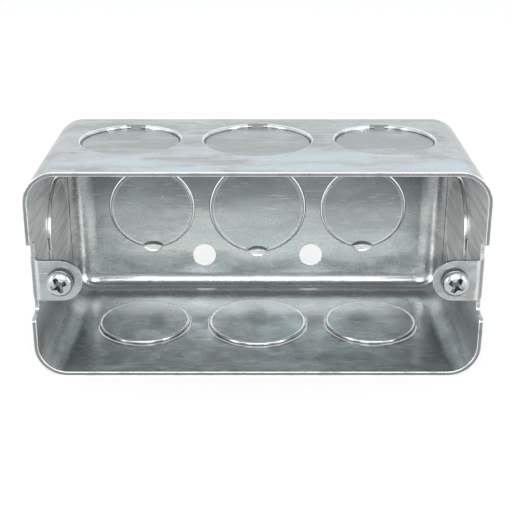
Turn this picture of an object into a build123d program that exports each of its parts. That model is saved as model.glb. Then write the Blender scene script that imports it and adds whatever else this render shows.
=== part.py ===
from build123d import *
import math
import os

os.makedirs("parts", exist_ok=True)

# Deep-drawn steel back box, lying on one long side wall with its mouth towards -Y.
# +X runs along the length, +Y into the box and +Z up. Origin: bottom centre of the whole.

# Drawn box
box_length = 101.6
box_width = 49.2
box_depth = 47.6
sheet = 1.0
corner_radius = 7.4          # outer, where the side walls turn into the end walls
back_radius = 6.2            # inner, all round the back wall
rim_break = 0.2              # eased edges of the mouth

# Knockouts: discs sheared round and left standing inwards on one tie
slug_offset = 0.8
shear_gap = 0.12
roll_over = 0.7              # drawn-in edge on the outer face
tie_width = 2.8
tie_run = 0.9
side_small_radius = 11.5
side_large_radius = 12.4
side_row_from_mouth = 24.7
upper_side_pitch = 29.9
lower_side_pitch = 28.3
back_small_radius = 11.0
back_large_radius = 12.4
back_row_height = 23.75
back_pitch = 27.8
end_radius = 12.2
end_from_mouth = 30.4        # its far edge runs into the back radius
end_height = 24.9

# Pry pockets, struck across the lower edge of the back knockouts
pry_length = 5.3
pry_depth = 0.5
pry_rise = 1.5               # into the disc, above the shear line
pry_fall = 2.0               # into the wall, below it

# Screw holes in the back wall
fixing_hole_radius = 3.0
fixing_hole_spacing = 28.5
fixing_hole_height = 10.2

# Ears: strips of the end walls, folded inwards to take the cover screws
ear_spacing = 87.9
ear_height = 23.2
ear_width = 9.6
ear_setback = 1.4
ear_bend_outer = 2.8
recess_width = 17.6
recess_depth = ear_setback + ear_bend_outer
recess_round = 1.2
recess_shoulder = 0.8
collar_radius = 2.75
collar_depth = 0.9
collar_entry = 1.6

# Cover screws, run in until the heads stand a little off the ears
screw_radius = 1.75
screw_length = 7.0
head_radius = 2.95
head_side = 0.7
head_height = 2.0
crown_radius = 1.7           # flat top, inside the sloping crown
head_gap = 0.9
cross_span = 3.7
cross_arm = 0.95
cross_depth = 1.3
left_cross_turn = 22
right_cross_turn = -28

# Places worked out from the sizes above
head_proud = head_gap + head_height - ear_setback
mouth_y = -(box_depth - head_proud) / 2
back_outer_y = mouth_y + box_depth
back_inner_y = back_outer_y - sheet
mid_height = box_width / 2
mouth = Plane((0, mouth_y, mid_height), x_dir=(1, 0, 0), z_dir=(0, 1, 0))
ear_face_y = mouth_y + ear_setback
head_seat_y = ear_face_y - head_gap


def tub(length, width, radius, depth, back_round):
    """Solid block of the drawn form, from the mouth to a rounded back."""
    block = extrude(mouth * RectangleRounded(length, width, radius), amount=depth)
    return fillet(block.faces().sort_by(Axis.Y)[-1].edges(), back_round)


def drawn_shell():
    """Box walls and back, as they leave the drawing die."""
    outside = tub(box_length, box_width, corner_radius, box_depth, back_radius + sheet)
    inside = tub(
        box_length - 2 * sheet,
        box_width - 2 * sheet,
        corner_radius - sheet,
        box_depth - sheet,
        back_radius,
    )
    return outside - inside


def knockout_hole(radius):
    """Sheared hole, with the outer edge of the sheet drawn in round it. Depth is local Z."""
    hole_radius = radius + shear_gap / 2
    section = Polyline(
        (0, -sheet),
        (hole_radius + roll_over, -sheet),
        (hole_radius + roll_over, 0),
        (hole_radius, roll_over),
        (hole_radius, 2 * sheet),
        (0, 2 * sheet),
        close=True,
    )
    return revolve(Plane.XZ * make_face(section), Axis.Z)


def knockout_disc(radius):
    """Disc pushed inwards by most of the sheet, with its tie towards local +Y."""
    disc_radius = radius - shear_gap / 2
    disc = Pos(0, 0, slug_offset) * Cylinder(
        disc_radius, sheet, align=(Align.CENTER, Align.CENTER, Align.MIN)
    )
    tie_section = Polyline(
        (radius + tie_run, 0),
        (radius - tie_run, slug_offset),
        (radius - tie_run, slug_offset + sheet),
        (radius + tie_run, sheet),
        close=True,
    )
    tie = extrude(Plane.YZ * make_face(tie_section), amount=tie_width / 2, both=True)
    return disc + tie


def knockout_places():
    """Plane and radius of each knockout: origin on the outer face, Z inwards, Y to the tie.

    The ties are at the far edges, apart from the end walls', which are next to the mouth.
    """
    places = []
    for step in (-1, 0, 1):
        side_radius = side_large_radius if step == 0 else side_small_radius
        back_hole_radius = back_large_radius if step == 0 else back_small_radius
        side_y = mouth_y + side_row_from_mouth
        upper = (step * upper_side_pitch, side_y, box_width)
        lower = (step * lower_side_pitch, side_y, 0)
        back = (step * back_pitch, back_outer_y, back_row_height)
        places.append((Plane(upper, x_dir=(-1, 0, 0), z_dir=(0, 0, -1)), side_radius))
        places.append((Plane(lower, x_dir=(1, 0, 0), z_dir=(0, 0, 1)), side_radius))
        places.append((Plane(back, x_dir=(1, 0, 0), z_dir=(0, -1, 0)), back_hole_radius))
    for side in (-1, 1):
        end = (side * box_length / 2, mouth_y + end_from_mouth, end_height)
        places.append((Plane(end, x_dir=(0, 0, -side), z_dir=(-side, 0, 0)), end_radius))
    return places


def pry_pocket(reach, side):
    """Half pocket that a sharp-rimmed wheel strikes above or below its shear line."""
    wheel_radius = ((pry_length / 2) ** 2 + pry_depth**2) / (2 * pry_depth)
    cheek = Cone(
        wheel_radius,
        wheel_radius - 2 * pry_depth,
        2 * reach,
        align=(Align.CENTER, Align.CENTER, Align.MIN),
    )
    if side < 0:
        cheek = mirror(cheek, Plane.XY)
    return Pos(0, pry_depth - wheel_radius, 0) * cheek


def pry_cut(radius):
    """Cut across the lower edge of a back knockout: a half pocket in the disc, one in the wall."""
    in_disc = Pos(0, -slug_offset, 0) * pry_pocket(pry_rise, 1)
    in_wall = pry_pocket(pry_fall, -1)
    shear_height = back_row_height - math.sqrt(radius**2 - (pry_length / 2) ** 2)
    return Pos(0, back_inner_y, shear_height) * (in_disc + in_wall)


def pry_cuts():
    """Pocket of each back knockout."""
    cuts = []
    for step in (-1, 0, 1):
        radius = back_large_radius if step == 0 else back_small_radius
        cuts.append(Pos(step * back_pitch, 0, 0) * pry_cut(radius))
    return cuts


def fixing_holes():
    """Two plain round holes through the back wall."""
    drill = Cylinder(fixing_hole_radius, 4 * sheet, rotation=(90, 0, 0))
    half = fixing_hole_spacing / 2
    return [Pos(side * half, back_inner_y, fixing_hole_height) * drill for side in (-1, 1)]


def ear_recess():
    """Cut-out in the rim of the left end wall, from which the ear is folded."""
    rim = Plane((-box_length / 2, mouth_y, ear_height), x_dir=(0, 0, 1), z_dir=(1, 0, 0))
    half = recess_width / 2
    flare = half + recess_shoulder
    outline = Polyline(
        (flare, -1),
        (flare, 0),
        (half, recess_shoulder),
        (half, recess_depth),
        (-half, recess_depth),
        (-half, recess_shoulder),
        (-flare, 0),
        (-flare, -1),
        close=True,
    )
    corners = [v for v in make_face(outline).vertices() if v.Y > recess_depth - 0.1]
    sketch = fillet(corners, recess_round)
    return extrude(rim * sketch, amount=2 * sheet, both=True)


def ear():
    """Left ear: a strip folded inwards, with a full round end and a plunged screw hole."""
    wall_x = -(box_length - sheet) / 2
    flange_y = ear_face_y + sheet / 2
    end_x = -ear_spacing / 2 + ear_width
    path = FilletPolyline(
        (wall_x, mouth_y + recess_depth + sheet),
        (wall_x, flange_y),
        (end_x, flange_y),
        radius=ear_bend_outer - sheet / 2,
    )
    strip = extrude(trace(path, sheet), amount=box_width)
    face = Plane((-ear_spacing / 2, ear_face_y, ear_height), x_dir=(1, 0, 0), z_dir=(0, 1, 0))
    outline = Circle(ear_width / 2) + Rectangle(
        ear_width, ear_width, align=(Align.MAX, Align.CENTER)
    )
    tab = strip & extrude(face * outline, amount=2 * ear_width, both=True)
    collar_end = sheet + collar_depth
    mouth_radius = screw_radius + collar_entry
    middle = collar_entry * (1 - math.sqrt(0.5))
    entry = Polyline(
        (0, -sheet),
        (mouth_radius, -sheet),
        (mouth_radius, 0),
        (screw_radius + middle, middle),
        (screw_radius, collar_entry),
        (screw_radius, 2 * collar_end),
        (0, 2 * collar_end),
        close=True,
    )
    tube = Cylinder(collar_radius, collar_end, align=(Align.CENTER, Align.CENTER, Align.MIN))
    return tab + face * tube - face * revolve(Plane.XZ * make_face(entry), Axis.Z)


def back_box():
    """Whole sheet-metal box: shell, knockouts, dents, holes and ears."""
    recess = ear_recess()
    shell = drawn_shell() - recess - mirror(recess, Plane.YZ)
    rim = shell.faces().filter_by(Axis.Y).group_by(Axis.Y)[0]
    shell = chamfer(rim.edges(), rim_break)
    for place, radius in knockout_places():
        shell = shell - place * knockout_hole(radius)
        shell = shell + place * knockout_disc(radius)
    shell = shell - pry_cuts() - fixing_holes()
    left = ear()
    return shell + left + mirror(left, Plane.YZ)


def cover_screw(side, cross_turn):
    """Pan-head screw with a cross recess, its head towards the mouth."""
    profile = Polyline(
        (0, 0),
        (head_radius, 0),
        (head_radius, head_side),
        (crown_radius, head_height),
        (0, head_height),
        close=True,
    )
    head = revolve(Plane.XZ * make_face(profile), Axis.Z)
    shank = Cylinder(screw_radius, screw_length, align=(Align.CENTER, Align.CENTER, Align.MAX))
    arms = Rectangle(cross_span, cross_arm) + Rectangle(cross_arm, cross_span)
    recess = extrude(Pos(0, 0, head_height) * Rot(0, 0, cross_turn) * arms, amount=-cross_depth)
    screw = head + shank - recess
    seat = Plane((side * ear_spacing / 2, head_seat_y, ear_height), x_dir=(1, 0, 0), z_dir=(0, -1, 0))
    return seat * screw


nodes = {
    "back_box": back_box(),
    "left_cover_screw": cover_screw(-1, left_cross_turn),
    "right_cover_screw": cover_screw(1, right_cross_turn),
}

for name, node in nodes.items():
    export_step(node, os.path.join("parts", name + ".step"))
    print(name, round(node.volume, 1), "mm3", node.is_valid)
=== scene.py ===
import math

import bmesh
import bpy
from mathutils import Matrix, Vector


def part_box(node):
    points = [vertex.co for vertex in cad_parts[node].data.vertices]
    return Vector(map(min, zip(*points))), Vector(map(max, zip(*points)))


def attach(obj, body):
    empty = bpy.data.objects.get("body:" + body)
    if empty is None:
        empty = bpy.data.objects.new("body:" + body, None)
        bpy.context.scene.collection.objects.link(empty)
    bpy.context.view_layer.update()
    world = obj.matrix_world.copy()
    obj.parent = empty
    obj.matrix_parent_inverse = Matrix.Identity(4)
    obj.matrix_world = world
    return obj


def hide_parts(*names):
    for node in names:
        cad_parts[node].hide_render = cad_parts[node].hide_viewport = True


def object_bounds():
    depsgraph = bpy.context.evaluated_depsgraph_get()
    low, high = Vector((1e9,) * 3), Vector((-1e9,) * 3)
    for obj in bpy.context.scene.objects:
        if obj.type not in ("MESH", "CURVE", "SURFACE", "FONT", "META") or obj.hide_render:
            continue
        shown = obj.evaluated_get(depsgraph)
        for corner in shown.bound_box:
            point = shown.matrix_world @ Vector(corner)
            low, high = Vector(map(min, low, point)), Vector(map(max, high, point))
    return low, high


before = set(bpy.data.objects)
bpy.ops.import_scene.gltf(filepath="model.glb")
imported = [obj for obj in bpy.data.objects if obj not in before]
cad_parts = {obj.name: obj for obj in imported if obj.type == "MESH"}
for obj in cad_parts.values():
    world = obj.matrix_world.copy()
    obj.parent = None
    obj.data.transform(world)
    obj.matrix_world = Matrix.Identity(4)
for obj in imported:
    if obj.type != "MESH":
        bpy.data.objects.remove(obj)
cad_low, cad_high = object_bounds()

# Camera. The photograph looks down into the mouth of the box from in front, with a long
# lens, and its optical axis lies above the middle of the frame.
frame_px = 512
sensor_mm = 36
focal_px = 1027.5
axis_px = (257.6, 200.0)
mouth_to_camera = 0.20745
camera_z = 0.1190
camera_pitch_deg = 20.13
box_low, box_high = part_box("back_box")


def linked(name, data):
    """New object of the scene, made of this data."""
    made = bpy.data.objects.new(name, data)
    bpy.context.scene.collection.objects.link(made)
    return made


camera_data = bpy.data.cameras.new("camera")
camera_data.sensor_width = sensor_mm
camera_data.lens = focal_px / frame_px * sensor_mm
camera_data.shift_x = (frame_px / 2 - axis_px[0]) / frame_px
camera_data.shift_y = (axis_px[1] - frame_px / 2) / frame_px
camera = linked("camera", camera_data)
camera.location = (0, box_low.y - mouth_to_camera, camera_z)
camera.rotation_euler = (math.radians(90 - camera_pitch_deg), 0, 0)
bpy.context.scene.camera = camera
bpy.context.scene.view_settings.view_transform = "Standard"

# Studio. A plain white floor that runs to the horizon, a white surround, and soft lamps: a wide
# one in front above the mouth, one behind above the box and a tall narrow one at each side.
floor_reach = 4.0
floor_white = 0.97
floor_shadow_share = 0.60
floor_glow_share = 0.56
surround_white = (0.985, 0.992, 1.0, 1)
surround_diffuse = 0.6


def seen_directly(nodes, links):
    """1 for camera, glossy and transmission rays, 0 for the rest."""
    path = nodes.new("ShaderNodeLightPath")
    seen = path.outputs["Is Camera Ray"]
    for ray in ("Is Glossy Ray", "Is Transmission Ray"):
        either = nodes.new("ShaderNodeMath")
        either.operation = "MAXIMUM"
        links.new(seen, either.inputs[0])
        links.new(path.outputs[ray], either.inputs[1])
        seen = either.outputs[0]
    return seen


def by_ray(nodes, links, otherwise, directly):
    """A value for the rays that see a surface directly, and another one for the rest."""
    choice = nodes.new("ShaderNodeMapRange")
    choice.inputs["To Min"].default_value = otherwise
    choice.inputs["To Max"].default_value = directly
    links.new(seen_directly(nodes, links), choice.inputs["Value"])
    return choice.outputs["Result"]


world = bpy.data.worlds.new("surround")
world.use_nodes = True
bpy.context.scene.world = world
world_nodes, world_links = world.node_tree.nodes, world.node_tree.links
background = world_nodes["Background"]
background.inputs["Color"].default_value = surround_white
world_links.new(by_ray(world_nodes, world_links, surround_diffuse, 1.0), background.inputs["Strength"])

floor_mesh = bpy.data.meshes.new("floor")
floor_corners = [(-1, -1), (1, -1), (1, 1), (-1, 1)]
floor_points = [(x * floor_reach, y * floor_reach, cad_low.z) for x, y in floor_corners]
floor_mesh.from_pydata(floor_points, [], [(0, 1, 2, 3)])
floor = linked("floor", floor_mesh)
floor_paint = bpy.data.materials.new("floor_paint")
floor_paint.use_nodes = True
floor_nodes, floor_links = floor_paint.node_tree.nodes, floor_paint.node_tree.links
floor_shader = floor_nodes["Principled BSDF"]
floor_shader.inputs["Roughness"].default_value = 1.0
floor_shader.inputs["Specular IOR Level"].default_value = 0.0
floor_tone = by_ray(floor_nodes, floor_links, floor_white, floor_shadow_share)
floor_links.new(floor_tone, floor_shader.inputs["Base Color"])
floor_shader.inputs["Emission Color"].default_value = (1, 1, 1, 1)
floor_glow = by_ray(floor_nodes, floor_links, 0.0, floor_glow_share)
floor_links.new(floor_glow, floor_shader.inputs["Emission Strength"])
floor_mesh.materials.append(floor_paint)


def soft_lamp(name, place, aim, width, height, watts, colour):
    """Rectangular soft lamp at a place, turned to a point."""
    data = bpy.data.lights.new(name, "AREA")
    data.shape = "RECTANGLE"
    data.size = width
    data.size_y = height
    data.energy = watts
    data.color = colour
    lamp = linked(name, data)
    lamp.location = place
    lamp.rotation_euler = (Vector(aim) - Vector(place)).to_track_quat("-Z", "Y").to_euler()
    lamp.visible_camera = False


box_middle = (cad_low + cad_high) / 2
neutral_light = (1.0, 0.985, 0.96)
cool_light = (0.86, 0.95, 1.0)
soft_lamp("front_lamp", (0.0, -0.70, 0.38), box_middle, 0.65, 0.40, 2.8, neutral_light)
soft_lamp("back_lamp", (0.0, 0.75, 0.62), box_middle, 1.2, 0.45, 0.5, cool_light)
soft_lamp("left_lamp", (-0.55, -0.42, 0.16), box_middle, 0.14, 0.36, 1.1, neutral_light)
soft_lamp("right_lamp", (0.55, -0.42, 0.16), box_middle, 0.14, 0.36, 1.1, neutral_light)

# Back box, drawn in a press from one sheet of galvanised steel: four walls and a back with
# round corners, trimmed at the mouth. Its sizes are in millimetres until it is finished.
mm = 0.001
box_length = (box_high.x - box_low.x) / mm
box_width = (box_high.z - box_low.z) / mm
mouth_y = box_low.y / mm
back_outer_y = box_high.y / mm
sheet = 1.0
corner_radius = 7.4
end_back_radius = 6.9
side_back_radius = 4.3
outer_end_radius = 7.2
outer_side_radius = 6.4
back_corner_radius = 3.0
outer_corner_radius = 3.4
corner_fade = 1.5
rim_round = 0.28
corner_steps = 20
fillet_steps = 40
ridge_height = 0.16
ridge_turn_deg = 50
ridge_reach_deg = 9
mid_height = box_width / 2
back_inner_y = back_outer_y - sheet


def loft(name, rings):
    """Closed solid through loops of like count, with a flat face at each end."""
    mesh = bpy.data.meshes.new(name)
    form = bmesh.new()
    loops = [[form.verts.new(point) for point in ring] for ring in rings]
    for near, far in zip(loops, loops[1:]):
        for i in range(len(near)):
            j = (i + 1) % len(near)
            form.faces.new((near[i], near[j], far[j], far[i]))
    form.faces.new(loops[0][::-1])
    form.faces.new(loops[-1])
    bmesh.ops.recalc_face_normals(form, faces=form.faces)
    form.to_mesh(mesh)
    form.free()
    return linked(name, mesh)


def settle(piece):
    """Makes a piece's modifiers part of its plain mesh."""
    old = piece.data
    graph = bpy.context.evaluated_depsgraph_get()
    piece.data = bpy.data.meshes.new_from_object(piece.evaluated_get(graph))
    piece.modifiers.clear()
    bpy.data.meshes.remove(old)
    return piece


def work(piece, tool, operation):
    """Cuts, joins or trims a piece with another one, which is used up."""
    modifier = piece.modifiers.new(operation, "BOOLEAN")
    modifier.operation = operation
    modifier.solver = "EXACT"
    modifier.object = tool
    settle(piece)
    bpy.data.objects.remove(tool)
    return piece


def ease(piece, width):
    """Rounds a piece's sharp edges."""
    modifier = piece.modifiers.new("ease", "BEVEL")
    modifier.width = width
    modifier.segments = 3
    modifier.limit_method = "ANGLE"
    modifier.angle_limit = math.radians(40)
    return settle(piece)


def arc(middle, radius, start_deg, end_deg, steps):
    """Points of an arc in a plane."""
    turns = [math.radians(start_deg + (end_deg - start_deg) * i / steps) for i in range(steps + 1)]
    return [(middle[0] + radius * math.cos(t), middle[1] + radius * math.sin(t)) for t in turns]


def inset_at(radius, gap):
    """How far a round of this radius has come in, at a distance before the back."""
    if gap >= radius:
        return 0.0
    return radius - math.sqrt(radius**2 - (radius - gap) ** 2)


def wall_ring(end_inset, side_inset, bend_radius, y):
    """Loop round the box at one depth, inset from its outside."""
    points = []
    for corner, (side_x, side_z) in enumerate(((1, 1), (-1, 1), (-1, -1), (1, -1))):
        middle = (
            side_x * (box_length / 2 - end_inset - bend_radius),
            mid_height + side_z * (box_width / 2 - side_inset - bend_radius),
        )
        bend = arc(middle, bend_radius, 90 * corner, 90 * corner + 90, corner_steps)
        points += [(x, y, z) for x, z in bend]
    return points


def drawn_rings(back_y, thickness, end_radius, side_radius, first_radius, last_radius):
    """Loops of one face of the drawn box, from the flat of its back to its mouth."""
    rings = []
    for i in range(fillet_steps + 1):
        gap = end_radius * (1 - math.cos(math.radians(90 * i / fillet_steps)))
        share = 1 - gap / end_radius
        bend_radius = first_radius + (last_radius - first_radius) * share**corner_fade
        end_inset = thickness + inset_at(end_radius, gap)
        side_inset = thickness + inset_at(side_radius, gap)
        if thickness:
            side_turn_deg = math.degrees(math.acos(max(0.0, 1 - gap / side_radius)))
            off_ridge = min(1.0, abs(side_turn_deg - ridge_turn_deg) / ridge_reach_deg)
            side_inset += ridge_height * (1 + math.cos(math.pi * off_ridge)) / 2
        rings.append(wall_ring(end_inset, side_inset, bend_radius, back_y - gap))
    return rings + [wall_ring(thickness, thickness, first_radius, mouth_y)]


outer_rings = drawn_rings(
    back_outer_y, 0, outer_end_radius, outer_side_radius, corner_radius, outer_corner_radius
)
inner_rings = drawn_rings(
    back_inner_y, sheet, end_back_radius, side_back_radius, corner_radius - sheet, back_corner_radius
)
steel = loft("drawn_box", outer_rings + inner_rings[::-1])

ear_height = 23.2
ear_setback = 1.4
ear_bend_outer = 2.8
recess_width = 17.6
recess_depth = ear_setback + ear_bend_outer
recess_round = 1.2
recess_shoulder = 1.0
beyond = 1.0
skim = 0.03

half = recess_width / 2
floor_bend = arc((half - recess_round, mouth_y + recess_depth - recess_round), recess_round, 90, 0, 6)
shoulder = arc((half + recess_shoulder, mouth_y + recess_shoulder - skim), recess_shoulder, 180, 270, 6)
side_points = floor_bend + shoulder + [(half + recess_shoulder, mouth_y - beyond)]
outline = [(ear_height + z, y) for z, y in side_points]
outline += [(ear_height - z, y) for z, y in reversed(side_points)]
for side in (-1, 1):
    spans = (box_length / 2 + beyond, box_length / 2 - 2 * sheet)
    notch = loft("notch", [[(side * x, y, z) for z, y in outline] for x in spans])
    work(steel, notch, "DIFFERENCE")
ease(steel, rim_round)

# Knockouts, pushed inwards in the press by most of the sheet and left standing on one tie.
# The sheet's outer edge is drawn in round each hole, and the disc's inner edge is rounded.
slug_offset = 0.8
shear_gap = 0.26
roll_over = 0.7
disc_round = 0.3
disc_burr = 0.08
disc_rim_flat = 0.12
disc_rim_width = 0.5
disc_sink = 0.14
burr_width = 0.24
burr_height = 0.14
tie_width = 2.8
tie_run = 1.0
tie_flare = 0.9
ring_steps = 96
model_radius = 12.4
side_radii = (11.5, 12.4, 11.5)
back_radii = (11.0, 12.4, 11.0)
end_radius = 12.2
side_row_y = mouth_y + 24.7
upper_pitch = 29.9
lower_pitch = 28.3
back_pitch = 27.8
back_row_height = 23.75
end_y = mouth_y + 30.4
end_height = 24.9


def turned(name, profile, steps=ring_steps):
    """Solid of revolution about Z, from points of radius and height."""
    turns = [2 * math.pi * i / steps for i in range(steps)]
    return loft(name, [[(r * math.cos(t), r * math.sin(t), z) for t in turns] for r, z in profile])


def knockout_hole():
    """What the press takes out round a knockout: Z runs inwards from the outer face."""
    radius = model_radius + shear_gap / 2
    entry = arc((radius + roll_over, roll_over - skim), roll_over, 270, 180, 8)
    lip = radius + burr_width
    burr = [(radius, sheet - burr_height), (lip, sheet + skim), (lip, 2 * sheet)]
    return turned("hole", [(radius + roll_over, -beyond)] + entry + burr)


def knockout_disc():
    """Disc with its tie, which leans from the sheet's level to the disc's at +Y."""
    radius = model_radius - shear_gap / 2
    top = slug_offset + sheet
    profile = [(radius - disc_burr, slug_offset), (radius, slug_offset + disc_burr)]
    profile += arc((radius - disc_round, top - disc_round), disc_round, 0, 90, 5)
    crest = radius - disc_round
    profile += [(crest - disc_rim_flat, top), (crest - disc_rim_width, top - disc_sink)]
    disc = turned("disc", profile)
    rings = []
    steps = 12
    for i in range(steps + 1):
        share = i / steps
        y = model_radius + tie_run * (1 - 2 * share)
        half = tie_width / 2 + tie_flare * (2 * share - 1) ** 4
        outer_z = skim + slug_offset * share * share * (3 - 2 * share)
        inner_z = outer_z + sheet - 2 * skim - disc_sink * share
        rings.append([(-half, y, outer_z), (half, y, outer_z), (half, y, inner_z), (-half, y, inner_z)])
    return work(disc, loft("tie", rings), "UNION")


def facing(x_dir, z_dir):
    """Turn that takes a tool's X and Z to two directions of the box."""
    x_axis, z_axis = Vector(x_dir), Vector(z_dir)
    return Matrix((x_axis, z_axis.cross(x_axis), z_axis)).transposed().to_euler()


upper_facing = facing((-1, 0, 0), (0, 0, -1))
lower_facing = facing((1, 0, 0), (0, 0, 1))
back_facing = facing((1, 0, 0), (0, -1, 0))
places = []
for step in (-1, 0, 1):
    side_radius, back_radius = side_radii[step + 1], back_radii[step + 1]
    places.append(((step * upper_pitch, side_row_y, box_width), upper_facing, side_radius))
    places.append(((step * lower_pitch, side_row_y, 0), lower_facing, side_radius))
    places.append(((step * back_pitch, back_outer_y, back_row_height), back_facing, back_radius))
for side in (-1, 1):
    end_place = (side * box_length / 2, end_y, end_height)
    places.append((end_place, facing((0, 0, -side), (-side, 0, 0)), end_radius))


def repeat_tree():
    """Geometry nodes that put a tool at each point, turned and spread as the point says."""
    tree = bpy.data.node_groups.new("repeated_tool", "GeometryNodeTree")
    for label, kind in (("Geometry", "Geometry"), ("Tool", "Object"), ("Finish", "Material")):
        tree.interface.new_socket(label, in_out="INPUT", socket_type="NodeSocket" + kind)
    tree.interface.new_socket("Geometry", in_out="OUTPUT", socket_type="NodeSocketGeometry")
    nodes, links = tree.nodes, tree.links
    given = nodes.new("NodeGroupInput")
    result = nodes.new("NodeGroupOutput")
    tool = nodes.new("GeometryNodeObjectInfo")
    links.new(given.outputs["Tool"], tool.inputs["Object"])
    turn = nodes.new("GeometryNodeInputNamedAttribute")
    spread = nodes.new("GeometryNodeInputNamedAttribute")
    for held, label in ((turn, "turn"), (spread, "spread")):
        held.data_type = "FLOAT_VECTOR"
        held.inputs["Name"].default_value = label
    rotation = nodes.new("FunctionNodeEulerToRotation")
    links.new(turn.outputs["Attribute"], rotation.inputs["Euler"])
    copies = nodes.new("GeometryNodeInstanceOnPoints")
    links.new(given.outputs["Geometry"], copies.inputs["Points"])
    links.new(tool.outputs["Geometry"], copies.inputs["Instance"])
    links.new(rotation.outputs["Rotation"], copies.inputs["Rotation"])
    links.new(spread.outputs["Attribute"], copies.inputs["Scale"])
    real = nodes.new("GeometryNodeRealizeInstances")
    links.new(copies.outputs["Instances"], real.inputs["Geometry"])
    finish = nodes.new("GeometryNodeSetMaterial")
    links.new(real.outputs["Geometry"], finish.inputs["Geometry"])
    links.new(given.outputs["Finish"], finish.inputs["Material"])
    links.new(finish.outputs["Geometry"], result.inputs["Geometry"])
    return tree


repeated_tool = repeat_tree()


def set_input(modifier, name, value):
    """Sets a named input of a geometry nodes modifier, by its socket's identifier."""
    for socket in modifier.node_group.interface.items_tree:
        if socket.name == name and socket.in_out == "INPUT":
            modifier[socket.identifier] = value


def repeated(name, tool, spots, finish):
    """One plain mesh of a tool at many spots, each a place, a turn and a spread."""
    mesh = bpy.data.meshes.new(name)
    mesh.from_pydata([place for place, _, _ in spots], [], [])
    turns = mesh.attributes.new("turn", "FLOAT_VECTOR", "POINT")
    spreads = mesh.attributes.new("spread", "FLOAT_VECTOR", "POINT")
    for i, (_, turn, spread) in enumerate(spots):
        turns.data[i].vector = turn
        spreads.data[i].vector = spread
    copies = linked(name, mesh)
    modifier = copies.modifiers.new("repeat", "NODES")
    modifier.node_group = repeated_tool
    set_input(modifier, "Tool", tool)
    set_input(modifier, "Finish", finish)
    settle(copies)
    bpy.data.objects.remove(tool)
    return copies


wall_zinc = bpy.data.materials.new("wall_zinc")
sheared_edge = bpy.data.materials.new("sheared_edge")
spots = []
for place, turn, radius in places:
    spots.append((place, turn, (radius / model_radius, radius / model_radius, 1)))
work(steel, repeated("holes", knockout_hole(), spots, sheared_edge), "DIFFERENCE")
work(steel, repeated("discs", knockout_disc(), spots, wall_zinc), "UNION")

# Pry pockets, struck across the lower edge of each back knockout for a screwdriver's blade,
# and two plain holes for the screws that fix the box to a wall.
pry_length = 5.3
pry_depth = 0.5
disc_pry_depth = 0.85
pry_rise = 1.5
pry_fall = 2.0
disc_overlap = 0.6
wall_overlap = 0.02
fixing_radius = 3.0
fixing_pitch = 28.5
fixing_height = 10.2
fixing_round = 0.2


def half_dent(reach, level, side, depth, overlap):
    """Half of a rounded dent, to one side of its chord and a little past it. Z runs inwards."""
    rings = []
    steps = 10
    for i in range(-1, steps + 1):
        lean = math.radians(88 * max(0, i) / steps)
        y = side * reach * math.sin(lean) if i >= 0 else -side * overlap
        narrowing = math.cos(lean)
        ring = arc((0, 0), 1, 0, 345, 23)
        rings.append([(x * narrowing * pry_length / 2, y, level + z * narrowing * depth) for x, z in ring])
    return loft("dent", rings)


pry_spots = []
for step in (-1, 0, 1):
    chord_z = back_row_height - math.sqrt(back_radii[step + 1] ** 2 - (pry_length / 2) ** 2)
    pry_spots.append(((step * back_pitch, back_outer_y, chord_z), back_facing, (1, 1, 1)))
in_disc = half_dent(pry_rise, slug_offset + sheet, 1, disc_pry_depth, disc_overlap)
in_wall = half_dent(pry_fall, sheet, -1, pry_depth, wall_overlap)
work(steel, repeated("disc_dents", in_disc, pry_spots, wall_zinc), "DIFFERENCE")
work(steel, repeated("wall_dents", in_wall, pry_spots, wall_zinc), "DIFFERENCE")

wide = fixing_radius + fixing_round
entry = arc((wide, fixing_round - skim), fixing_round, 270, 180, 4)
exit_edge = arc((wide, sheet - fixing_round + skim), fixing_round, 180, 90, 4)
drill = turned("drill", [(wide, -beyond)] + entry + exit_edge + [(wide, sheet + beyond)], 64)
fixing_spots = [
    ((side * fixing_pitch / 2, back_outer_y, fixing_height), back_facing, (1, 1, 1)) for side in (-1, 1)
]
work(steel, repeated("drills", drill, fixing_spots, sheared_edge), "DIFFERENCE")

# Ears, strips of the end walls folded inwards at the mouth, with a full round end. Each has
# a screw hole plunged inwards, which leaves a funnel in front and a collar behind.
ear_spacing = 87.9
ear_width = 9.6
ear_round = 0.22
ear_embed = 1.5
ear_taper = 0.05
screw_radius = 1.75
collar_radius = 2.75
collar_depth = 0.9
collar_root = 0.5
collar_lip = 0.2
funnel_round = 1.6
ear_face_y = mouth_y + ear_setback
tip_x = -ear_spacing / 2 + ear_width


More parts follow.
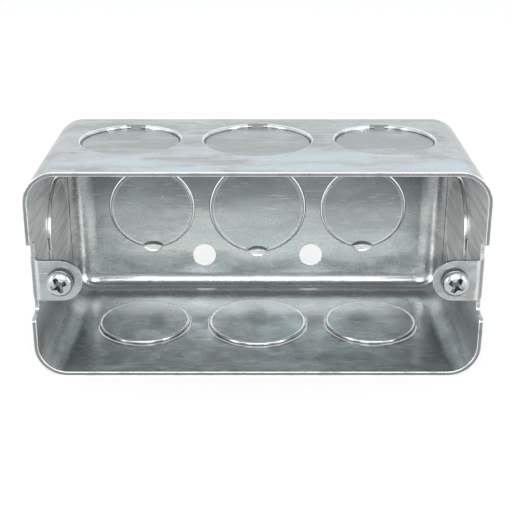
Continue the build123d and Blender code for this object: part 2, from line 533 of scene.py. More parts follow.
def ear():
    """Left ear, folded, trimmed, eased and plunged."""
    outer_x = -box_length / 2
    centre = (outer_x + ear_bend_outer, ear_face_y + ear_bend_outer)
    recess_y = mouth_y + recess_depth
    outer_bend = arc(centre, ear_bend_outer, 270, 180, 14)
    inner_bend = arc(centre, ear_bend_outer - sheet, 180, 270, 14)
    flush_y = recess_y + 2 * rim_round
    end_y = recess_y + ear_embed
    root_out_x = outer_x + ear_taper
    root_in_x = outer_x + sheet - ear_taper
    side_profile = [(tip_x + beyond, ear_face_y)] + outer_bend
    side_profile += [(outer_x, flush_y), (root_out_x, flush_y + ear_taper), (root_out_x, end_y)]
    side_profile += [(root_in_x, end_y), (root_in_x, flush_y + ear_taper), (outer_x + sheet, flush_y)]
    side_profile += inner_bend + [(tip_x + beyond, ear_face_y + sheet)]
    spans = (ear_height - ear_width, ear_height + ear_width)
    strip = loft("ear", [[(x, y, z) for x, y in side_profile] for z in spans])
    tip_radius = ear_width / 2
    outline = arc((-ear_spacing / 2, ear_height), tip_radius, -90, 90, 36)
    outline += [(outer_x - beyond, ear_height + tip_radius), (outer_x - beyond, ear_height - tip_radius)]
    spans = (ear_face_y - beyond, recess_y + ear_embed + beyond)
    work(strip, loft("outline", [[(x, y, z) for x, z in outline] for y in spans]), "INTERSECT")
    ease(strip, ear_round)
    place = Matrix.Translation((-ear_spacing / 2, ear_face_y, ear_height))
    place = place @ Matrix.Rotation(math.radians(-90), 4, "X")
    end = sheet + collar_depth
    wide = collar_radius + collar_root
    root = arc((wide, sheet + collar_root - skim), collar_root, 270, 180, 4)
    lip = arc((collar_radius - collar_lip, end - collar_lip), collar_lip, 0, 90, 3)
    collar = turned("collar", [(wide, sheet / 2)] + root + lip, 64)
    collar.data.transform(place)
    work(strip, collar, "UNION")
    wide = screw_radius + funnel_round
    mouth = arc((wide, funnel_round - skim), funnel_round, 270, 180, 10)
    funnel = turned("funnel", [(wide, -beyond)] + mouth + [(screw_radius, end + beyond)], 64)
    funnel.data.transform(place)
    return work(strip, funnel, "DIFFERENCE")


left_ear = ear()
left_ear.data.materials.append(wall_zinc)
right_ear = linked("right_ear", left_ear.data.copy())
right_ear.data.transform(Matrix.Scale(-1, 4, (1, 0, 0)))
right_ear.data.flip_normals()
work(steel, left_ear, "UNION")
work(steel, right_ear, "UNION")


def smooth_shaded(piece, sharp_deg):
    """Shades a piece smooth, apart from its sharp edges, with its large faces left flat."""
    form = bmesh.new()
    form.from_mesh(piece.data)
    bmesh.ops.remove_doubles(form, verts=form.verts, dist=0.0005)
    for face in form.faces:
        face.smooth = True
    for edge in form.edges:
        edge.smooth = len(edge.link_faces) == 2 and edge.calc_face_angle(0) < math.radians(sharp_deg)
    form.to_mesh(piece.data)
    form.free()
    modifier = piece.modifiers.new("flat_faces", "WEIGHTED_NORMAL")
    modifier.mode = "FACE_AREA"
    modifier.keep_sharp = True
    return settle(piece)


# How far each worn part with painted highlights, or part with painted shade, reaches from the edge
# it lies along, how its faces are told from others, and how strong the wear, highlight and shade are.
# Of two values, the second is for the back.
edge_reach = 0.4
margin = 0.1
disc_top = slug_offset + sheet
mouth_reach = 0.3
outside_reach = 0.5
disc_rim_reach = 1.0
lip_start = 0.05
lip_reach = 0.6
pocket_overlap = 0.05
pocket_gap = 0.3
pocket_reach = 1.2
tie_shade_half_width = 2.3
rim_facing = 0.3
wall_facing = 0.9
flat_facing = 0.995
narrow_edge = 0.16
bend_area = 3.0
tie_area = 6.0
disc_rim_wear_and_glint = (0.9, 0.25)
lip_wear_and_glint = (0.8, 0.45)
roll_over_wear_and_glint = 0.5
pocket_highlight = 0.35
recess_wear_and_glint_share = 0.3
back_cut_shade = 0.9


def bare_edges(piece):
    """Finds sheared faces at rim, knockouts and holes, worn faces with painted highlights, painted shade,
    and the discs'.
    """
    turns = [(Vector(place), turn.to_matrix().transposed(), radius) for place, turn, radius in places]
    for place, turn, _ in fixing_spots:
        turns.append((Vector(place), turn.to_matrix().transposed(), fixing_radius))
    form = bmesh.new()
    form.from_mesh(piece.data)
    rounded = form.faces.layers.float.new("rounded")
    painted_shade = form.faces.layers.float.new("painted_shade")
    struck = form.faces.layers.float.new("struck")
    for face in form.faces:
        middle = face.calc_center_median()
        area = face.calc_area()
        bare = middle.y < mouth_y + rim_round and abs(face.normal.y) > rim_facing
        for place, turn, radius in turns:
            local = turn @ (middle - place)
            at_edge = abs(math.hypot(local.x, local.y) - radius) < edge_reach
            upright = abs((turn @ face.normal).z) < wall_facing
            if upright and at_edge and -margin < local.z < disc_top + margin:
                bare = True
        face.material_index = int(bare)
        face[struck] = 0.0
        face[painted_shade] = 0.0
        for place, turn, radius in turns[:len(places)]:
            local = turn @ (middle - place)
            if math.hypot(local.x, local.y) < radius and 0 < local.z < disc_top + margin:
                face[struck] = 1.0
            # Painted shade on the outer faces of each tie.
            on_tie = abs(local.x) < tie_shade_half_width and abs(local.y - radius) < tie_run + margin
            if on_tie and -margin < local.z < slug_offset + margin / 2 and area < tie_area:
                face[painted_shade] = 1.0
        narrow = min(edge.calc_length() for edge in face.edges) < narrow_edge
        tilted = max(map(abs, face.normal)) < flat_facing
        at_mouth = middle.y < mouth_y + mouth_reach
        face[rounded] = float(narrow and tilted and (at_mouth or area < bend_area and not bare))
        for place, turn, radius in turns:
            local = turn @ (middle - place)
            across = math.hypot(local.x, local.y) - radius
            on_back = place.y > back_outer_y - margin
            on_disc = radius != fixing_radius
            # Worn edges, also painted edge highlights, at holes, disc rims, roll-overs and lips.
            if not on_disc and abs(across) < edge_reach and local.z > -margin:
                face[rounded] = 1.0
            elif tilted and on_disc and -disc_rim_reach < across < 0 and local.z > sheet + margin:
                face[rounded] = disc_rim_wear_and_glint[on_back]
            # Painted shade on the sheared edges of the back discs.
            elif bare and on_back and -edge_reach < across < 0 and local.z > sheet - 2 * margin:
                face[painted_shade] = back_cut_shade
            elif bare and -margin < across < outside_reach and -margin < local.z < roll_over:
                face[rounded] = roll_over_wear_and_glint
            elif tilted and lip_start < across < lip_reach and -2 * margin < local.z - sheet < margin:
                face[rounded] = lip_wear_and_glint[on_back]
        for place, _, _ in pry_spots:
            down = place[2] - middle.z
            beside = abs(middle.x - place[0]) < pry_length / 2
            if tilted and beside and middle.y > back_inner_y - pocket_reach:
                # Painted shade on the upper half of each pry pocket, painted highlight on its lower half.
                if -pry_rise < down < pocket_overlap:
                    face[painted_shade] = 1.0
                elif pocket_gap < down < pry_fall:
                    face[rounded] = pocket_highlight
        in_recess = abs(middle.x) > box_length / 2 - sheet - margin
        if in_recess and mouth_y + mouth_reach < middle.y < mouth_y + recess_depth + outside_reach:
            face[rounded] *= recess_wear_and_glint_share
    form.to_mesh(piece.data)
    form.free()


steel.data.materials.clear()
for finish in (wall_zinc, sheared_edge):
    steel.data.materials.append(finish)
bare_edges(steel)
smooth_shaded(steel, sharp_deg=33)
steel.data.transform(Matrix.Scale(mm, 4))
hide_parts("back_box")
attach(steel, "root")

# Zinc finish of the box, hot-dip coated strip that was rolled, oiled and drawn: rolled streaks
# and fine lines, faint crystals, scratches, specks, burnished bends and worn bare edges, with
# painted light and painted shade on parts of the box and painted highlights on its edges.
zinc_dark = (0.320, 0.342, 0.343, 1)
zinc_light = (0.530, 0.546, 0.538, 1)
zinc_cool = (0.430, 0.475, 0.490, 1)
# Painted sky reflection on the front of the top wall.
zinc_sky_reflection = (0.520, 0.610, 0.665, 1)
# Painted shade: upper back, front of the bottom, foot of the back and outer ear bends.
zinc_painted_shade = (0.150, 0.172, 0.180, 1)
zinc_blue = (0.300, 0.370, 0.390, 1)
# Worn edges, also painted edge highlights.
zinc_worn_and_glint = (0.950, 0.960, 0.955, 1)
# Pale zinc for scratches and pale specks, and painted light where lit.
zinc_pale = (0.740, 0.755, 0.755, 1)
# Dark specks, and painted shade on ties, cut edges and pry pockets.
zinc_grime_and_shade = (0.120, 0.130, 0.130, 1)
bare_dark = (0.300, 0.315, 0.320, 1)
bare_light = (0.560, 0.580, 0.585, 1)
# Painted shade on the rim's front face.
bare_rim_shade = (0.170, 0.180, 0.185, 1)


def feed(tree, socket, value):
    """Sets an input from another node's output, or from a plain value."""
    if isinstance(value, bpy.types.NodeSocket):
        tree.links.new(value, socket)
    else:
        socket.default_value = value


def worked(tree, operation, first, second=0.0):
    """Result of a math node."""
    node = tree.nodes.new("ShaderNodeMath")
    node.operation = operation
    feed(tree, node.inputs[0], first)
    feed(tree, node.inputs[1], second)
    return node.outputs[0]


def vectored(tree, operation, first, second):
    """Result of a vector math node."""
    node = tree.nodes.new("ShaderNodeVectorMath")
    node.operation = operation
    feed(tree, node.inputs[0], first)
    feed(tree, node.inputs[1], second)
    return node.outputs["Value"] if operation == "DOT_PRODUCT" else node.outputs["Vector"]


def between(tree, value, low, high, start=0.0, end=1.0):
    """Smooth change from start to end as a value goes from low to high."""
    node = tree.nodes.new("ShaderNodeMapRange")
    node.interpolation_type = "SMOOTHSTEP"
    node.inputs["From Min"].default_value = low
    node.inputs["From Max"].default_value = high
    node.inputs["To Min"].default_value = start
    node.inputs["To Max"].default_value = end
    feed(tree, node.inputs["Value"], value)
    return node.outputs["Result"]


def noise(tree, place, scale, detail, roughness=0.5):
    """Noise from 0 to 1 at a place."""
    node = tree.nodes.new("ShaderNodeTexNoise")
    node.inputs["Detail"].default_value = detail
    node.inputs["Roughness"].default_value = roughness
    feed(tree, node.inputs["Vector"], place)
    feed(tree, node.inputs["Scale"], scale)
    return node


def product(tree, first, *others):
    """First value times each of the others."""
    for other in others:
        first = worked(tree, "MULTIPLY", first, other)
    return first


def axes(tree, vector):
    """Outputs with the X, Y and Z of a vector."""
    node = tree.nodes.new("ShaderNodeSeparateXYZ")
    tree.links.new(vector, node.inputs["Vector"])
    return node.outputs


def stored(tree, name):
    """Value that each face of the mesh holds under a name."""
    node = tree.nodes.new("ShaderNodeAttribute")
    node.attribute_name = name
    return node.outputs["Fac"]


def blended(tree, share, first, second):
    """Mix of two colours."""
    node = tree.nodes.new("ShaderNodeMix")
    node.data_type = "RGBA"
    feed(tree, node.inputs["Factor"], share)
    feed(tree, node.inputs[6], first)
    feed(tree, node.inputs[7], second)
    return node.outputs[2]


def coated(tree, colour, *coats):
    """A colour under further ones, each given with the share of it that covers."""
    for share, coat in coats:
        colour = blended(tree, share, colour, coat)
    return colour


def bumped(tree, shader, strength, distance, height):
    """Turns a shader's surface by a height that changes over it."""
    bump = tree.nodes.new("ShaderNodeBump")
    bump.inputs["Strength"].default_value = strength
    bump.inputs["Distance"].default_value = distance
    tree.links.new(height, bump.inputs["Height"])
    tree.links.new(bump.outputs["Normal"], shader.inputs["Normal"])


def opened(material):
    """Node tree of a material, its main shader, and the outputs of place and facing."""
    material.use_nodes = True
    tree = material.node_tree
    source = tree.nodes.new("ShaderNodeTexCoord")
    return tree, tree.nodes["Principled BSDF"], source.outputs["Object"], source.outputs["Normal"]


def shader_group(name, given, put_out):
    """Empty shader group with named inputs and outputs."""
    tree = bpy.data.node_groups.new(name, "ShaderNodeTree")
    for label, kind, value in given:
        socket = tree.interface.new_socket(label, in_out="INPUT", socket_type=kind)
        if value is not None:
            socket.default_value = value
    for label in put_out:
        tree.interface.new_socket(label, in_out="OUTPUT", socket_type="NodeSocketFloat")
    return tree, tree.nodes.new("NodeGroupInput").outputs, tree.nodes.new("NodeGroupOutput").inputs


def placed(tree, group, **values):
    """Outputs of a group placed in a material with its own values."""
    node = tree.nodes.new("ShaderNodeGroup")
    node.node_tree = group
    for label, value in values.items():
        feed(tree, node.inputs[label], value)
    return node.outputs


number = "NodeSocketFloat"
point = "NodeSocketVector"


def rolled_grain_group():
    """Noise drawn out along the rolling direction: the length, and the depth on the end walls."""
    sizes = [("Along", number, 20.0), ("Across", number, 100.0)]
    given = [("Place", point, None), ("Ends", number, 0.0)] + sizes
    tree, values, results = shader_group("rolled_grain", given, ["Grain"])
    turned_share = worked(tree, "SUBTRACT", 1.0, values["Ends"])
    sizes = tree.nodes.new("ShaderNodeCombineXYZ")
    reach = worked(tree, "SUBTRACT", values["Along"], values["Across"])
    for axis, share in enumerate((turned_share, values["Ends"])):
        size = worked(tree, "ADD", values["Across"], product(tree, reach, share))
        tree.links.new(size, sizes.inputs[axis])
    tree.links.new(values["Across"], sizes.inputs[2])
    stretched = vectored(tree, "MULTIPLY", values["Place"], sizes.outputs["Vector"])
    tree.links.new(noise(tree, stretched, 1.0, 3.0, 0.6).outputs["Fac"], results["Grain"])
    return tree


def zinc_crystals_group():
    """Irregular crystals of a zinc coat: a value for each one."""
    given = [("Place", point, None), ("Count", number, 300.0), ("Warp", number, 0.003)]
    tree, values, results = shader_group("zinc_crystals", given, ["Crystal"])
    wander = noise(tree, values["Place"], values["Count"], 2.0).outputs["Color"]
    centred = vectored(tree, "SUBTRACT", wander, (0.5, 0.5, 0.5))
    reach = tree.nodes.new("ShaderNodeCombineXYZ")
    for axis in range(3):
        tree.links.new(values["Warp"], reach.inputs[axis])
    shift = vectored(tree, "MULTIPLY", centred, reach.outputs["Vector"])
    moved = vectored(tree, "ADD", values["Place"], shift)
    cells = tree.nodes.new("ShaderNodeTexVoronoi")
    tree.links.new(moved, cells.inputs["Vector"])
    tree.links.new(values["Count"], cells.inputs["Scale"])
    split = tree.nodes.new("ShaderNodeSeparateColor")
    tree.links.new(cells.outputs["Color"], split.inputs["Color"])
    tree.links.new(split.outputs["Red"], results["Crystal"])
    return tree


def scratches_group():
    """Thin scratches in three directions."""
    given = [("Place", point, None), ("Fineness", number, 1.0), ("Limit", number, 0.68)]
    tree, values, results = shader_group("handling_scratches", given, ["Scratch"])
    marks = 0.0
    for i, turn in enumerate(((0.12, 0.2, 0.06), (0.5, -0.6, 0.4), (-0.3, 0.9, -0.5))):
        mapping = tree.nodes.new("ShaderNodeMapping")
        mapping.inputs["Location"].default_value = (0.3 * i, 0.1, 0.2)
        mapping.inputs["Rotation"].default_value = turn
        mapping.inputs["Scale"].default_value = (90 + 40 * i, 2600, 2600)
        tree.links.new(values["Place"], mapping.inputs["Vector"])
        value = noise(tree, mapping.outputs["Vector"], values["Fineness"], 1.0).outputs["Fac"]
        above = worked(tree, "SUBTRACT", value, values["Limit"])
        marks = worked(tree, "MAXIMUM", between(tree, above, 0.0, 0.05), marks)
    tree.links.new(marks, results["Scratch"])
    return tree


def specks_group():
    """Small pale and dark specks, one in some of the cells."""
    given = [("Place", point, None), ("Count", number, 600.0)]
    given += [("Size", number, 0.2), ("Share", number, 0.1)]
    tree, values, results = shader_group("specks", given, ["Pale", "Dark"])
    cells = tree.nodes.new("ShaderNodeTexVoronoi")
    tree.links.new(values["Place"], cells.inputs["Vector"])
    tree.links.new(values["Count"], cells.inputs["Scale"])
    spread = worked(tree, "SUBTRACT", values["Size"], cells.outputs["Distance"])
    spot = between(tree, spread, 0.0, 0.08)
    split = tree.nodes.new("ShaderNodeSeparateColor")
    tree.links.new(cells.outputs["Color"], split.inputs["Color"])
    for colour, label in (("Red", "Pale"), ("Green", "Dark")):
        chosen = worked(tree, "LESS_THAN", split.outputs[colour], values["Share"])
        tree.links.new(product(tree, chosen, spot), results[label])
    return tree


def edge_wear_and_glint_group():
    """Worn edges with painted highlights, where the surface turns within a short reach, broken up by noise.
    """
    given = [("Place", point, None), ("Reach", number, 0.0004), ("Breaks", number, 900.0)]
    tree, values, results = shader_group("edge_wear_and_glint", given, ["Wear"])
    rounded = tree.nodes.new("ShaderNodeBevel")
    rounded.samples = 4
    tree.links.new(values["Reach"], rounded.inputs["Radius"])
    straight = tree.nodes.new("ShaderNodeNewGeometry")
    agreement = vectored(tree, "DOT_PRODUCT", rounded.outputs["Normal"], straight.outputs["Normal"])
    turned_away = between(tree, agreement, 0.99, 0.80)
    breaks = noise(tree, values["Place"], values["Breaks"], 2.0).outputs["Fac"]
    gaps = between(tree, breaks, 0.3, 0.6, 0.35, 1.0)
    tree.links.new(product(tree, turned_away, gaps), results["Wear"])
    return tree


rolled_grain = rolled_grain_group()
zinc_crystals = zinc_crystals_group()
scratches = scratches_group()
specks = specks_group()
edge_wear_and_glint = edge_wear_and_glint_group()


def summed(tree, start, *parts):
    """Start value plus each part, a value about its middle, times its weight."""
    total = start
    for value, middle, weight in parts:
        share = product(tree, worked(tree, "SUBTRACT", value, middle), weight)
        total = worked(tree, "ADD", share, total)
    return total


# Zones of the box with a finish of their own: where each starts and where it is full, in mm
# across the box, into it or up from its underside. Most carry painted light or painted shade:
# the upper back, the foot of the back and the front of the bottom are painted darker; the
# middle band of the back, the top's front, the inner end walls and the back fillets are painted
# lighter; the ear bends are painted lighter inside and darker outside.
end_inside = (49.96, 49.84)
near_back = (back_inner_y - 8, back_inner_y - 6)
back_level = (20.5, 21.5)
upper_back_shade_rise = (19.0, 33.0)
mid_back_light_rise = (7.5, 13.0)
mid_back_light_fall = (27.0, 21.0)
top_reflection_front = (2.0, -18.0)
top_reflection_level = (48.6, 48.9)
bottom_level = (4.0, 2.0)
foot_level = (12.0, 7.0)
forward_part = (12.0, 3.0)
shaded_part = (-22.5, -15.0)
ear_front = (-18.7, -19.0)
ear_bend_depth = (-16.0, -18.0)
ear_bend_side = (48.2, 48.8)
low_end_level = (19.0, 10.0)


def zone(tree, value, levels):
    """1 in a zone of the box and 0 outside it, with a smooth change."""
    return between(tree, value, levels[0] * mm, levels[1] * mm)


def finish_zinc_sheet(material, dark, light, burnish):
    """Procedural zinc-coated sheet: painted light and shade, and worn edges with painted highlights."""
    tree, shader, place, normal = opened(material)
    facing_way = axes(tree, vectored(tree, "ABSOLUTE", normal, (0, 0, 0)))
    seat = axes(tree, place)
    off_middle = worked(tree, "ABSOLUTE", seat["X"])
    ends = worked(tree, "GREATER_THAN", facing_way["X"], 0.7)
    # Inner end walls: less metallic and rougher, and painted lighter.
    matte_and_painted_light = product(tree, between(tree, facing_way["X"], 0.60, 0.90), zone(tree, off_middle, end_inside))
    flattest = worked(tree, "MAXIMUM", facing_way["X"], facing_way["Y"])
    flattest = worked(tree, "MAXIMUM", flattest, facing_way["Z"])
    # Drawn bends before the back: smoother, and painted lighter.
    bends = product(tree, between(tree, flattest, 0.995, 0.93), zone(tree, seat["Y"], near_back))
    bends = product(tree, bends, worked(tree, "SUBTRACT", 1.0, matte_and_painted_light))
    # Painted highlight on the inner part of the ear bends.
    ear_bend_highlight = product(tree, between(tree, facing_way["X"], 0.15, 0.45), zone(tree, seat["Y"], ear_bend_depth))
    ear_bend_highlight = product(tree, ear_bend_highlight, between(tree, facing_way["Y"], 0.10, 0.45))
    on_back = zone(tree, seat["Y"], back_level)
    # Painted shade on the upper part of the back wall.
    upper_back_shade = product(tree, on_back, zone(tree, seat["Z"], upper_back_shade_rise))
    # Painted light on a band across the middle of the back wall.
    mid_back_light = product(tree, on_back, zone(tree, seat["Z"], mid_back_light_rise), zone(tree, seat["Z"], mid_back_light_fall))
    # Painted shade at the foot of the back wall, where it meets the bottom.
    foot = product(tree, on_back, zone(tree, seat["Z"], foot_level))
    # Painted reflection on the front of the top wall: lighter, and tinted like the sky.
    top_front_reflection = product(tree, zone(tree, seat["Y"], top_reflection_front), zone(tree, seat["Z"], top_reflection_level))
    # Bottom wall, painted darker as shade.
    on_bottom = zone(tree, seat["Z"], bottom_level)
    forward = product(tree, on_bottom, zone(tree, seat["Y"], forward_part))
    # Painted shade on the front of the bottom wall.
    shaded = product(tree, forward, zone(tree, seat["Y"], shaded_part))
    # Inner end walls, darker towards their bottom.
    low_ends = product(tree, matte_and_painted_light, zone(tree, seat["Z"], low_end_level))
    in_front = zone(tree, seat["Y"], ear_front)
    # Front faces of the ears, which are made darker.
    on_ear = product(tree, in_front, between(tree, facing_way["Y"], 0.95, 0.99))
    # Painted shade on the outer part of the ear bends.
    on_bend = product(tree, zone(tree, off_middle, ear_bend_side), in_front, 0.75)
    on_bend = product(tree, on_bend, between(tree, facing_way["Y"], 0.05, 0.2))
    on_bend = product(tree, on_bend, between(tree, facing_way["X"], 0.45, 0.65))

    patches = placed(tree, rolled_grain, Place=place, Ends=ends, Along=45.0, Across=140.0)["Grain"]
    cool = placed(tree, rolled_grain, Place=place, Ends=ends, Along=55.0, Across=200.0)["Grain"]
    streaks = placed(tree, rolled_grain, Place=place, Ends=ends, Along=70.0, Across=700.0)["Grain"]
    lines = placed(tree, rolled_grain, Place=place, Ends=ends, Along=160.0, Across=3200.0)["Grain"]
    crystal = placed(tree, zinc_crystals, Place=place, Count=330.0, Warp=0.006)["Crystal"]
    scratch = placed(tree, scratches, Place=place, Fineness=1.0, Limit=0.70)["Scratch"]
    speck = placed(tree, specks, Place=place, Count=520.0, Size=0.16, Share=0.07)
    mottle = noise(tree, place, 420.0, 3.0, 0.6).outputs["Fac"]
    # Worn edges, also painted edge highlights.
    wear_and_glint = product(tree, stored(tree, "rounded"), between(tree, streaks, 0.3, 0.6, 0.6, 1.0))

    # Painted light and shade in the tone: lighter on the middle band of the back, the top's front, the inner
    # end walls and the ear bends; painted shade on the bottom wall and the foot of the back; darker on the
    # ear fronts and towards the bottom of the end walls.
    tone = summed(
        tree, 0.45, (patches, 0.5, 2.4), (streaks, 0.5, 1.4), (lines, 0.5, 0.9), (crystal, 0.5, 0.30),
        (mottle, 0.5, 0.9), (stored(tree, "struck"), 0.0, -0.55), (mid_back_light, 0.0, 0.30),
        (top_front_reflection, 0.0, 0.20), (matte_and_painted_light, 0.0, 0.75), (on_bottom, 0.0, -0.42), (low_ends, 0.0, -0.85),
        (ear_bend_highlight, 0.0, 0.8), (on_ear, 0.0, -0.5), (foot, 0.0, -0.6),
    )
    cool_share = between(tree, cool, 0.46, 0.62, 0.0, 0.7)
    sky_reflection_share = product(tree, top_front_reflection, between(tree, patches, 0.40, 0.62, 0.15, 0.9))
    upper_back_shade_share = product(tree, upper_back_shade, between(tree, patches, 0.25, 0.6, 1.0, 0.8))
    # Painted light: pale zinc on the inner end walls (less towards their bottom), the back of the bottom,
    # the ear bends, the back fillets and the middle band of the back.
    lit = worked(tree, "SUBTRACT", matte_and_painted_light, product(tree, low_ends, 0.8))
    lit = product(tree, lit, between(tree, streaks, 0.36, 0.62, 0.25, 0.95))
    # Painted light on the back of the bottom wall.
    rear = worked(tree, "SUBTRACT", on_bottom, forward)
    lit = summed(tree, lit, (rear, 0.0, 0.6), (ear_bend_highlight, 0.0, 0.4), (bends, 0.0, 0.25), (mid_back_light, 0.0, 0.14))
    blotch = between(tree, noise(tree, place, 170.0, 4.0, 0.65).outputs["Fac"], 0.50, 0.60, 0.0, 0.5)
    blotch = product(tree, blotch, worked(tree, "MAXIMUM", forward, low_ends))
    colour = coated(
        tree, blended(tree, between(tree, tone, 0.0, 1.0), dark, light),
        (cool_share, zinc_cool),
        (sky_reflection_share, zinc_sky_reflection),
        (upper_back_shade_share, zinc_painted_shade),
        (product(tree, shaded, 0.8), zinc_painted_shade),
        (product(tree, scratch, 0.35), zinc_pale),
        (product(tree, speck["Pale"], 0.6), zinc_pale),
        (product(tree, speck["Dark"], 0.55), zinc_grime_and_shade),
        (lit, zinc_pale),
        (product(tree, foot, 0.4), zinc_painted_shade),
        (on_bend, zinc_painted_shade),
        (blotch, zinc_blue),
        (wear_and_glint, zinc_worn_and_glint),
        # Painted shade on the ties, the back discs' cut edges and the upper halves of the pry pockets.
        (product(tree, stored(tree, "painted_shade"), 0.8), zinc_grime_and_shade),
    )
    tree.links.new(colour, shader.inputs["Base Color"])

    gloss = summed(
        tree, 0.27, (mottle, 0.5, 0.16), (streaks, 0.5, 0.16), (crystal, 0.5, 0.06),
        (on_bottom, 0.0, -0.06), (matte_and_painted_light, 0.0, 0.10), (scratch, 0.0, 0.08), (bends, 0.0, -burnish),
    )
    tree.links.new(gloss, shader.inputs["Roughness"])
    bright = summed(
        tree, 0.82, (patches, 0.5, 0.25), (mottle, 0.5, 0.15), (bends, 0.0, -0.18), (matte_and_painted_light, 0.0, -0.66),
        (wear_and_glint, 0.0, -0.35), (low_ends, 0.0, 0.35), (foot, 0.0, 0.1), (upper_back_shade, 0.0, 0.12),
    )
    tree.links.new(bright, shader.inputs["Metallic"])
    waves = noise(tree, place, 90.0, 2.0).outputs["Fac"]
    ripples = noise(tree, place, 260.0, 2.0, 0.5).outputs["Fac"]
    height = summed(tree, 0.0, (waves, 0.5, 1.6), (ripples, 0.5, 0.75), (streaks, 0.5, 0.10))
    bumped(tree, shader, 0.8, 0.1 * mm, height)


def finish_bare_edge(material):
    """Procedural sheared steel edge: bright, fine lines across the cut, dark nicks, painted highlights and
    shade.
    """
    tree, shader, place, _ = opened(material)
    shader.inputs["Metallic"].default_value = 1.0
    grain = noise(tree, place, 2400.0, 3.0, 0.6).outputs["Fac"]
    patches = noise(tree, place, 300.0, 2.0).outputs["Fac"]
    speck = placed(tree, specks, Place=place, Count=1500.0, Size=0.2, Share=0.08)
    tone = summed(tree, 0.5, (grain, 0.5, 0.8), (patches, 0.5, 1.2))
    # Painted shade on the rim's front face.
    rim_level = mouth_y + rim_round
    on_rim = zone(tree, axes(tree, place)["Y"], (rim_level + 0.05, rim_level))
    # Worn edges, also painted edge highlights.
    wear_and_glint = product(tree, stored(tree, "rounded"), between(tree, patches, 0.25, 0.5, 0.45, 0.9))
    colour = coated(
        tree, blended(tree, between(tree, tone, 0.0, 1.0), bare_dark, bare_light),
        (product(tree, speck["Dark"], 0.5), zinc_grime_and_shade),
        (product(tree, on_rim, 0.7), bare_rim_shade),
        (wear_and_glint, zinc_worn_and_glint),
        # Painted shade on the back discs' cut edges.
        (product(tree, stored(tree, "painted_shade"), 0.65), zinc_grime_and_shade),
    )
    tree.links.new(colour, shader.inputs["Base Color"])
    gloss = summed(tree, 0.22, (grain, 0.5, 0.15), (patches, 0.5, 0.12))
    tree.links.new(gloss, shader.inputs["Roughness"])
    bumped(tree, shader, 0.6, 0.03 * mm, summed(tree, 0.0, (grain, 0.5, 0.5), (patches, 0.5, 1.0)))


finish_zinc_sheet(wall_zinc, zinc_dark, zinc_light, burnish=0.05)
finish_bare_edge(sheared_edge)

# Cover screws, two bright zinc-plated pan heads with a cross recess and a rolled thread, run
# into the plunged holes of the ears until the heads stand a little off them.
screw_length = 7.0
head_radius = 2.95
head_side = 0.7
head_height = 2.0
head_gap = 0.9
thread_pitch = 0.794
thread_depth = 0.32
cross_turns = (22, -28)
cross_depth = 1.35
foot_round = 0.2
foot_break = 0.06
recess_top = head_height + 0.3
cross_levels = [(2.05, 0.56, recess_top), (1.78, 0.46, 1.55), (1.2, 0.38, 1.0)]
cross_levels += [(0.75, 0.3, head_height - cross_depth)]
well_levels = ((0.2, head_height - cross_depth - 0.1), (0.72, 1.0), (1.02, 1.7), (1.15, recess_top))
recess_reach = 2.1
recess_floor = 0.3
screw_steps = 48
shank_sink = 0.4
tip_length = 0.6
tip_share = 0.55
crest_flat = 1.25
plate_dull = (0.40, 0.43, 0.45, 1)
plate_bright = (0.56, 0.59, 0.61, 1)
plate_worn_and_glint = (0.78, 0.80, 0.82, 1)
plate_recess_shade = (0.10, 0.11, 0.115, 1)


def threaded_shank():
    """Shank with a helical thread, its tip below and its end inside the head. Z runs to the head."""
    per_turn = 8
    rings = []
    count = int((screw_length + shank_sink) / thread_pitch * per_turn)
    for i in range(count + 1):
        z = -screw_length + i * thread_pitch / per_turn
        ring = []
        for j in range(screw_steps):
            turn = j / screw_steps
            phase = (z / thread_pitch - turn) % 1.0
            crest = 1 - abs(2 * phase - 1)
            tip = min(1.0, (z + screw_length) / tip_length + tip_share)
            radius = (screw_radius - thread_depth * (1 - min(1.0, crest * crest_flat))) * tip
            angle = 2 * math.pi * turn
            ring.append((radius * math.cos(angle), radius * math.sin(angle), z))
        rings.append(ring)
    return loft("shank", rings)


def cross_ring(span, arm, z):
    """Outline of a cross, with its inner corners eased."""
    corners = []
    for quarter in range(4):
        turn = math.radians(90 * quarter)
        c, s = math.cos(turn), math.sin(turn)
        for x, y in ((span, -arm), (span, arm), (arm * 1.35, arm * 1.35)):
            corners.append((x * c - y * s, x * s + y * c, z))
    return corners


def cover_screw():
    """Pan-head screw about Z, seated at 0."""
    crown = [
        (head_radius * math.cos(t), head_side + (head_height - head_side) * math.sin(t))
        for t in (math.radians(a) for a in (0, 8, 16, 24, 32, 40, 48, 56, 64, 72, 79, 85, 89))
    ]
    foot = [(head_radius - foot_round, 0), (head_radius - foot_break, foot_break)]
    head = turned("cover_screw", foot + [(head_radius, foot_round)] + crown, 72)
    work(head, loft("cross", [cross_ring(span, arm, z) for span, arm, z in cross_levels]), "DIFFERENCE")
    work(head, turned("well", well_levels, 24), "DIFFERENCE")
    ease(head, foot_break)
    return work(head, threaded_shank(), "UNION")


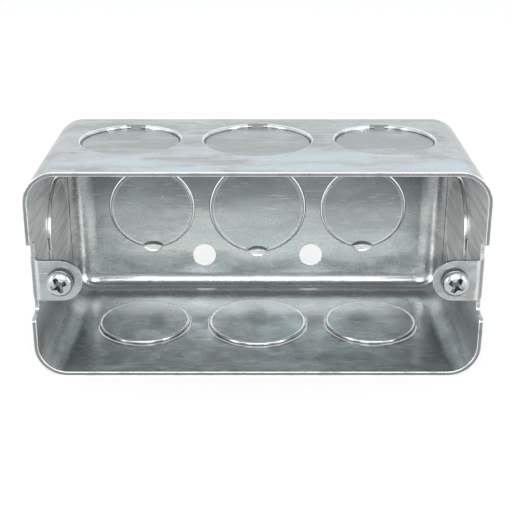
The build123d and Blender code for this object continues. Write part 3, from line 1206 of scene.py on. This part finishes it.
screw_zinc = bpy.data.materials.new("screw_zinc")
head_seat_y = ear_face_y - head_gap
screw_spots = []
for side, cross_turn in zip((-1, 1), cross_turns):
    turn = back_facing.to_matrix() @ Matrix.Rotation(math.radians(cross_turn), 3, "Z")
    screw_spots.append(((side * ear_spacing / 2, head_seat_y, ear_height), turn.to_euler(), (1, 1, 1)))
tool = cover_screw()
# Faces in the cross recess, which get painted shade.
sunk = tool.data.attributes.new("sunk", "FLOAT", "FACE")
for face in tool.data.polygons:
    across = min(math.hypot(face.center.x, face.center.y), head_radius)
    dome = head_side + (head_height - head_side) * math.sqrt(1 - (across / head_radius) ** 2)
    in_recess = across < recess_reach and recess_floor < face.center.z < dome - foot_break
    sunk.data[face.index].value = float(in_recess)
screws = repeated("cover_screws", tool, screw_spots, screw_zinc)
smooth_shaded(screws, sharp_deg=35)
screws.data.transform(Matrix.Scale(mm, 4))


def finish_screw(material):
    """Procedural bright zinc plate, worn on its edges with painted highlights, scratched, a few spots,
    painted shade in the recess.
    """
    tree, shader, place, _ = opened(material)
    shader.inputs["Metallic"].default_value = 1.0
    patches = noise(tree, place, 700.0, 3.0, 0.6).outputs["Fac"]
    scratch = placed(tree, scratches, Place=place, Fineness=1.6, Limit=0.66)["Scratch"]
    speck = placed(tree, specks, Place=place, Count=1400.0, Size=0.2, Share=0.07)
    # Worn edges, also painted edge highlights.
    wear_and_glint = placed(tree, edge_wear_and_glint, Place=place, Reach=0.0002, Breaks=1800.0)["Wear"]
    sunk = stored(tree, "sunk")
    colour = coated(
        tree, blended(tree, between(tree, patches, 0.3, 0.7), plate_dull, plate_bright),
        (product(tree, wear_and_glint, 0.6), plate_worn_and_glint),
        # Painted shade in the cross recess.
        (product(tree, sunk, between(tree, patches, 0.2, 0.7, 0.95, 0.7)), plate_recess_shade),
        (product(tree, speck["Dark"], 0.6), zinc_grime_and_shade),
    )
    tree.links.new(colour, shader.inputs["Base Color"])
    gloss = summed(tree, 0.13, (patches, 0.5, 0.12), (scratch, 0.0, 0.06), (sunk, 0.0, 0.2))
    tree.links.new(gloss, shader.inputs["Roughness"])
    bumped(tree, shader, 0.5, 0.02 * mm, summed(tree, 0.0, (patches, 0.5, 1.0), (scratch, 0.0, -0.4)))


finish_screw(screw_zinc)
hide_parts("left_cover_screw", "right_cover_screw")
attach(screws, "root")
